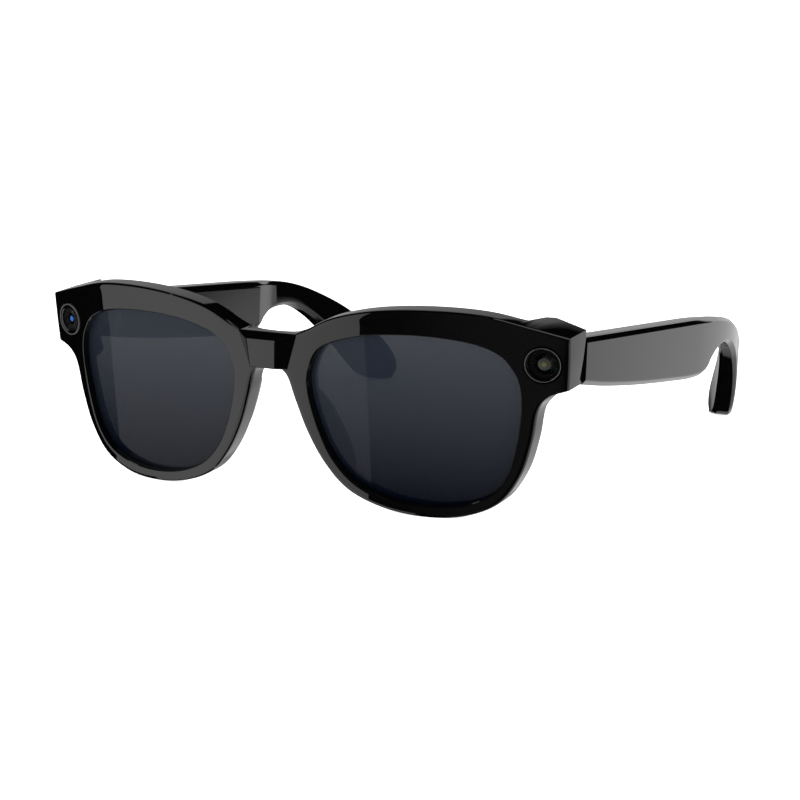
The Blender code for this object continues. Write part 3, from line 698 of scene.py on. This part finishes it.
def bridge_panel():
    """The raised plate on the bridge, its flanks sloping out to the rims."""
    shapes = zip((BRIDGE_BASE, BRIDGE_BASE, BRIDGE_TOP), BRIDGE_DEPTHS)
    bm = loft([[on_front(x, z, depth) for x, z in shape] for shape, depth in shapes])
    bmesh.ops.recalc_face_normals(bm, faces=bm.faces)
    bmesh.ops.bevel(bm, geom=bm.edges[:], offset=BRIDGE_BEVEL * MM, segments=3, profile=0.5,
                    affect="EDGES")
    return bm


def strip(path, half_width, front, back):
    """A bar along a path and its mirror image, behind the front's face."""
    right_half = spline(path, 4)
    line = [(-x, z) for x, z in reversed(right_half)][:-1] + right_half
    upper, lower = [], []
    for i, (x, z) in enumerate(line):
        before, after = line[max(i - 1, 0)], line[min(i + 1, len(line) - 1)]
        dx, dz = after[0] - before[0], after[1] - before[1]
        length = hypot(dx, dz) / half_width
        upper.append((x - dz / length, z + dx / length))
        lower.append((x + dz / length, z - dx / length))
    return loft([[on_front(*a, front), on_front(*a, back), on_front(*b, back), on_front(*b, front)]
                 for a, b in zip(upper, lower)])


def make_front():
    """The front with its recesses, bores, brow channel and hinge pockets cut out."""
    shell = make("front_frame", front_body(), MATERIALS["frame_black"])
    cut(shell, bridge_panel(), "UNION")
    recesses = bmesh.new()
    bores = bmesh.new()
    for x, recess_end in ((-EYE_X, CAMERA_RECESS_END), (EYE_X, LIGHT_RECESS_END)):
        front_disc(x, EYE_Z, EYE_RECESS, -CUT_CLEAR, recess_end, recesses)
        front_disc(x, EYE_Z, EYE_BORE, EYE_BORE_START, EYE_BORE_END, bores)
    cut(shell, recesses)
    cut(shell, bores)
    cut(shell, strip(BROW_PATH, CHANNEL_HALF, CHANNEL_FRONT, RIM_DEPTH + 1.0))
    for first, second in (HINGE_POCKET, BRACKET_SEAT):
        tools = bmesh.new()
        for side in SIDES.values():
            box(on_side(side), first, second, tools)
        cut(shell, tools)
    shell.data.set_sharp_from_angle(angle=radians(SHARP))
    even_normals(shell)
    show(shell, "front", "frame_black", "front_shell")


def make_lenses():
    """Each lens in rings about its middle, so that its faces follow the wrap."""
    edge = offset(lens_outline(), GROOVE_DEPTH - LENS_PLAY)
    centre = (sum(x for x, z in edge) / len(edge), sum(z for x, z in edge) / len(edge))
    for name, side in SIDES.items():
        bm = bmesh.new()
        rims = []
        for depth in LENS_FACES:
            loops = [[bm.verts.new(on_front(side * (centre[0] + (x - centre[0]) * scale),
                                            centre[1] + (z - centre[1]) * scale, depth))
                      for x, z in edge] for scale in LENS_RINGS]
            ring_faces(bm, loops)
            middle = bm.verts.new(on_front(side * centre[0], centre[1], depth))
            for i in range(len(edge)):
                bm.faces.new((loops[-1][i], loops[-1][(i + 1) % len(edge)], middle))
            rims.append(loops[0])
        ring_faces(bm, rims)
        lens = make("lens_glass_" + name, bm, MATERIALS["lens_tint"])
        show(lens, "front", "lens_tint", "lens_" + name)


def make_nose_pads():
    """Soft-edged pads behind the rims, on the CAD pads' foot line."""
    line = spline(PAD_FOOT, 8)
    start = RIM_DEPTH + GAP
    for name, side in SIDES.items():
        sections = []
        for i, (x, z) in enumerate(line):
            rise = sin(pi * (i + 0.8) / (len(line) + 0.6)) ** 0.6
            depth = start + PAD_BASE + PAD_RISE * rise
            half = 0.7 + 0.7 * rise
            lean = 1.1 * rise
            outline = [
                (x + 0.1, start), (x + 0.3 + 2 * half, start),
                (x + lean + 2 * half, 0.5 * (start + depth)),
                (x + lean + 1.5 * half, depth - 0.2), (x + lean + 0.8 * half, depth),
                (x + 0.7 * lean, 0.5 * (start + depth)),
            ]
            corners = [(on_front(side * px, z, d), 0.0 if k < 2 else PAD_ROUND * MM)
                       for k, (px, d) in enumerate(outline)]
            sections.append(fillet(corners, 2))
        pad = make("nose_rest_" + name, loft(sections), MATERIALS["frame_black"], 50.0)
        even_normals(pad)
        show(pad, "front", "frame_black", "nose_pad_" + name)


# --------------------------------------------------------- camera and light

def make_camera():
    """The rings, glass and lens of the camera, turned from (radius, depth) profiles."""
    x = -EYE_X
    # painted sheen: the bezel's even matt grey stands in for its metal's reflection
    bezel = make("camera_bezel", turned(x, [
        (4.15, 0.7), (4.15, 0.1), (4.1, -0.02), (3.98, -0.08), (3.86, -0.02), (3.8, 0.1),
        (3.6, 0.14), (3.35, 0.2), (3.35, 0.7)]), MATERIALS["trim_metal"])
    show(bezel, "front", "trim_metal", "camera_trim_ring")
    mask = make("camera_mask", turned(x, [
        (3.78, 0.6), (3.78, 0.06), (3.7, 0.02), (3.4, 0.06), (3.08, 0.14), (3.08, 0.6)]),
        MATERIALS["frame_black"])
    show(mask, "front", "trim_metal")
    window = make("camera_window", turned(x, [
        (0.0, -0.02), (1.2, 0.0), (2.4, 0.06), (3.05, 0.16), (3.05, 0.55), (0.0, 0.55)]),
        MATERIALS["clear_window"])
    show(window, "front", "clear_window", "camera_cover_glass")
    barrel = make("camera_hood", turned(x, [
        (0.0, 5.8), (0.0, 2.5), (1.25, 2.45), (1.25, 1.95), (1.6, 1.9), (1.6, 1.6),
        (1.95, 1.55), (1.95, 1.3), (2.2, 1.3), (2.2, 5.8)]), MATERIALS["optic_black"], 25.0)
    show(barrel, "front", "optic_black", "camera_barrel")
    # the front element carries a painted blue glint in its base colour
    element = make("camera_element", turned(x, [
        (0.0, 0.62), (0.3, 0.65), (0.58, 0.75), (0.75, 0.92), (0.75, 1.2), (0.0, 1.2)]),
        painted_glint_element())
    show(element, "front", "optic_black")
    for number, radius in enumerate((2.85, 2.3, 1.7)):
        ring = make(f"camera_step_{number}", turned(x, [
            (radius + 0.2, 1.2), (radius + 0.2, 0.75), (radius + 0.06, 0.64),
            (radius - 0.06, 0.64), (radius - 0.12, 1.2)]), MATERIALS["step_black"])
        show(ring, "front", "optic_black")


def make_light():
    """The status light: ring, lip, cover, and an emitter with its die."""
    x = EYE_X
    bezel = make("light_bezel", turned(x, [
        (4.2, 1.4), (4.2, 0.1), (4.1, 0.04), (3.9, 0.04), (3.75, 0.12), (3.65, 0.25),
        (3.65, 1.4)]), MATERIALS["frame_black"])
    show(bezel, "front", "frame_black", "light_trim_ring")
    # painted highlight: the thin matt grey lip stands in for the bright ring of light along the
    # light's edge
    lip = make("light_lip", turned(x, [
        (4.0, 0.2), (4.0, 0.02), (3.95, -0.01), (3.9, 0.02), (3.9, 0.2)]),
        MATERIALS["trim_metal"])
    show(lip, "front", "frame_black")
    window = make("light_cover", turned(x, [
        (0.0, 0.4), (3.3, 0.4), (3.6, 0.5), (3.6, 0.68), (0.0, 0.68)]),
        MATERIALS["clear_window"])
    show(window, "front", "clear_window", "light_window")
    emitter = make("light_emitter", turned(x, [
        (0.0, 0.78), (1.2, 0.8), (1.45, 0.95), (1.45, 5.8), (0.0, 5.8)]),
        MATERIALS["light_resin"])
    show(emitter, "front", "light_resin", "light_pipe")
    die = make("light_die", front_disc(x, EYE_Z, 0.55, 0.72, 0.9), MATERIALS["yellow_die"])
    show(die, "front", "light_resin")


# -------------------------------------------------------------------- temples

def temple_section(top, bottom, place):
    """A bevelled slice of the temple from its top edge to its bottom edge."""
    (tu, th), (bu, bh) = top, bottom
    length = hypot(tu - bu, th - bh)
    bevel = min(TEMPLE_BEVEL, 0.3 * length)

    def at(down, inward):
        part = down / length
        u = tu + (bu - tu) * part
        h = th + (bh - th) * part
        return place(temple_outer_x(u) - inward * temple_thickness(u), u, h)

    edge = bevel / temple_thickness(0.5 * (tu + bu))
    soft = min(0.35, 0.3 * bevel) * MM
    points = [
        at(0.0, edge), at(0.0, 1 - edge),
        at(bevel, 1.0), at(0.5 * length, 1.0), at(length - bevel, 1.0),
        at(length, 1 - edge), at(length, edge),
        at(length - bevel, 0.0), at(0.5 * length, 0.0), at(bevel, 0.0),
    ]
    return fillet([(point, 0.0 if k in (3, 8) else soft) for k, point in enumerate(points)], 2)


def make_temple(name, side):
    """One temple's arm, hollowed for its electronics and cut for the speaker."""
    place = on_side(side)
    inner_x = TEMPLE_X - temple_thickness(0.0)
    tops = spline([top for top, bottom in TEMPLE_STATIONS])
    bottoms = spline([bottom for top, bottom in TEMPLE_STATIONS])
    sections = [temple_section(top, bottom, place) for top, bottom in zip(tops, bottoms)]
    arm = make("temple_arm_" + name, loft(sections), MATERIALS["frame_black"], SHARP)
    cut(arm, side_plate(place, ROOM, inner_x - 1.0, TEMPLE_X - WALL))
    cut(arm, box(place, *SPEAKER_CUT))
    if side == RIGHT:
        cut(arm, box(place, *BUTTON_SLOT))
    arm.data.set_sharp_from_angle(angle=radians(SHARP))
    even_normals(arm)
    show(arm, "temple_" + name, "frame_black", "temple_shell_" + name)


def make_button():
    """The capture button: a low rounded bar with a shallow finger dip."""
    place = on_side(RIGHT)
    (x0, u0, low), (x1, u1, high) = BUTTON
    round_top = BUTTON_ROUND * MM
    sections = []
    for i in range(BUTTON_SLICES + 1):
        t = i / BUTTON_SLICES
        u = u0 + (u1 - u0) * t
        end = 1 - abs(2 * t - 1)
        drop = BUTTON_DROP * (1 - smoothstep(end, 0.0, 0.16))
        inset = BUTTON_INSET * (1 - smoothstep(end, 0.0, 0.1))
        dip = BUTTON_DIP * smoothstep(end, 0.25, 0.7)
        top = high - drop - dip
        corners = [(place(x0 + inset, u, low), 0.0), (place(x0 + inset, u, top), round_top),
                   (place(x1 - inset, u, top), round_top), (place(x1 - inset, u, low), 0.0)]
        sections.append(fillet(corners, 3))
    key = make("capture_key", loft(sections), MATERIALS["frame_black"])
    even_normals(key)
    show(key, "capture_button", "frame_black", "capture_button")


# ------------------------------------------------------ carried-over CAD nodes

def paint_cad_nodes():
    """Dress every CAD node in its slot's material."""
    slots = {part["node"]: part["material_slot"] for part in frame["record"]["subparts"]}
    for name, node in NODES.items():
        node.data.materials.clear()
        node.data.materials.append(MATERIALS[slots[name]])


# --------------------------------------------------------------------- studio

def paper():
    """White paper with a glow of its own, so that nothing casts a shadow on it."""
    made, tree, principled = shader("paper", PAPER, PAPER_ROUGHNESS)
    principled.inputs["Specular IOR Level"].default_value = 0.0
    principled.inputs["Emission Color"].default_value = (*PAPER, 1.0)
    principled.inputs["Emission Strength"].default_value = PAPER_GLOW
    return made


def make_floor():
    """A sheet of paper that the polished surfaces don't mirror."""
    bm = bmesh.new()
    bm.faces.new([bm.verts.new((a * FLOOR_REACH, b * FLOOR_REACH, 0.0))
                  for a, b in ((-1, -1), (1, -1), (1, 1), (-1, 1))])
    floor = make("studio_floor", bm, paper())
    floor.visible_glossy = False


def ramp(tree, factor, low, high, stops):
    """A grey ramp over a range of values, from (value, brightness) stops."""
    share = add(tree, "ShaderNodeMapRange", [("Value", factor)])
    share.inputs["From Min"].default_value = low
    share.inputs["From Max"].default_value = high
    node = add(tree, "ShaderNodeValToRGB", [("Fac", share.outputs["Result"])])
    elements = node.color_ramp.elements
    while len(elements) < len(stops):
        elements.new(0.5)
    for element, (value, brightness) in zip(elements, stops):
        element.position = (value - low) / (high - low)
        element.color = (brightness, brightness, brightness, 1.0)
    return node.outputs["Color"]


def in_radians(stops):
    return [(radians(angle), brightness) for angle, brightness in stops]


def maths(tree, operation, *sockets):
    """A maths node; each of sockets is a linked socket or a number."""
    node = add(tree, "ShaderNodeMath", operation=operation)
    for entry, value in zip(node.inputs, sockets):
        if isinstance(value, bpy.types.NodeSocket):
            tree.links.new(value, entry)
        else:
            entry.default_value = value
    return node.outputs[0]


def mirrored_light(tree):
    """Soft boxes between black flags, by the direction that a mirror looks in."""
    direction = add(tree, "ShaderNodeTexCoord").outputs["Generated"]
    parts = add(tree, "ShaderNodeSeparateXYZ", [("Vector", direction)]).outputs
    turn = maths(tree, "ARCTAN2", parts["X"], maths(tree, "MULTIPLY", parts["Y"], -1.0))
    around = ramp(tree, turn, -pi, pi, in_radians(AROUND))
    box_stops = in_radians(IN_FRONT_BOX)
    inside = ramp(tree, turn, box_stops[0][0], box_stops[-1][0], box_stops)
    first, last = (radians(edge) for edge in FRONT_BOX)
    in_box = maths(tree, "COMPARE", turn, (first + last) / 2, (last - first) / 2)
    lit = add(tree, "ShaderNodeMix", [(MIX_FACTOR, in_box), (MIX_A, around), (MIX_B, inside)],
              data_type="RGBA")
    sideways = maths(tree, "MINIMUM", parts["X"], SLANT_END)
    slant = maths(tree, "MULTIPLY_ADD", sideways, SLANT, parts["Z"])
    above = ramp(tree, slant, ABOVE[0][0], ABOVE[-1][0], ABOVE)
    flags = add(tree, "ShaderNodeMix", [(MIX_A, lit.outputs[MIX_COLOUR]), (MIX_B, above)],
                data_type="RGBA", blend_type="MULTIPLY")
    flags.inputs[MIX_FACTOR].default_value = 1.0
    return flags.outputs[MIX_COLOUR]


def make_world():
    """Even white light, in which only mirror-like reflections see boxes and flags."""
    scene_world = bpy.data.worlds.new("soft studio")
    bpy.context.scene.world = scene_world
    scene_world.use_nodes = True
    tree = scene_world.node_tree
    seen = add(tree, "ShaderNodeLightPath").outputs["Is Glossy Ray"]
    light = add(tree, "ShaderNodeMix", [(MIX_FACTOR, seen), (MIX_B, mirrored_light(tree))],
                data_type="RGBA")
    light.inputs[MIX_A].default_value = WHITE
    background = tree.nodes["Background"]
    tree.links.new(light.outputs[MIX_COLOUR], background.inputs["Color"])
    background.inputs["Strength"].default_value = LIGHT_STRENGTH


def make_camera_view():
    """The view's camera, aimed at the face from its left and a little above."""
    data = bpy.data.cameras.new("camera")
    data.sensor_width = SENSOR
    data.lens = CAMERA_LENS
    data.clip_start = NEAREST
    camera = bpy.data.objects.new("camera", data)
    camera.location = CAMERA_PLACE
    camera.rotation_euler = (pi / 2 - CAMERA_DOWN, 0.0, CAMERA_TURN)
    bpy.context.scene.collection.objects.link(camera)
    bpy.context.scene.camera = camera


def main():
    bpy.context.scene.view_settings.view_transform = "Standard"
    paint_cad_nodes()
    make_front()
    make_lenses()
    make_nose_pads()
    make_camera()
    make_light()
    for name, side in SIDES.items():
        make_temple(name, side)
    make_button()
    make_floor()
    make_world()
    make_camera_view()


main()
